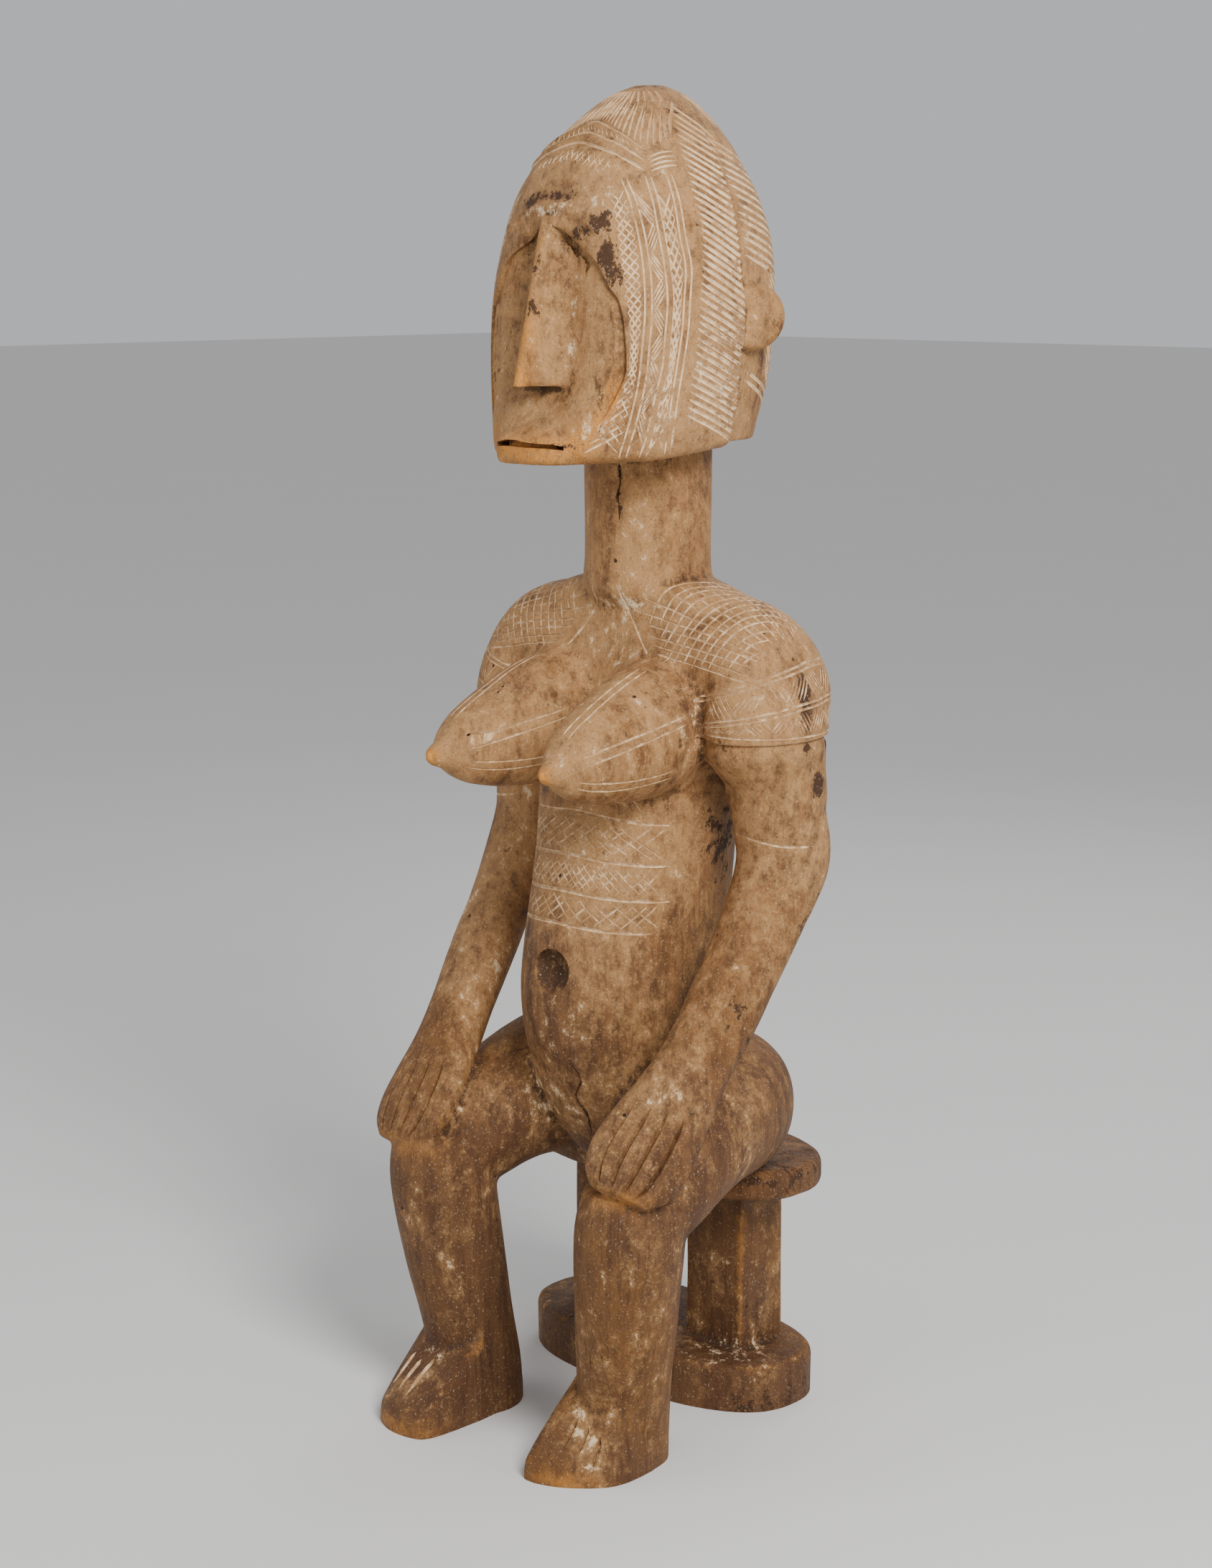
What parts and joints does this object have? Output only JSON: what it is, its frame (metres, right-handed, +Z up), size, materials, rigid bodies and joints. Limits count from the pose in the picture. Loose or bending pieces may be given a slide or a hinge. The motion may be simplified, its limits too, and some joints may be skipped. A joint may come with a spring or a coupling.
{
  "type": "seated figure sculpture",
  "caption": "Carved wooden figure of a woman seated on an oval stool, with a tall neck, a helmet of combed hair, a long wedge nose and hands laid on the knees.",
  "frame": {"origin": "point of the stool's underside on the floor, below the axis of the neck", "axes": "+Z up, -Y the way she faces, +X her left side"},
  "size_m": [0.3563, 0.3517, 1.0998],
  "materials": {
    "wood": "matte, worn and dusty"
  },
  "bodies": {
    "root": {"seated_figure": "wood"}
  },
  "joints": []
}
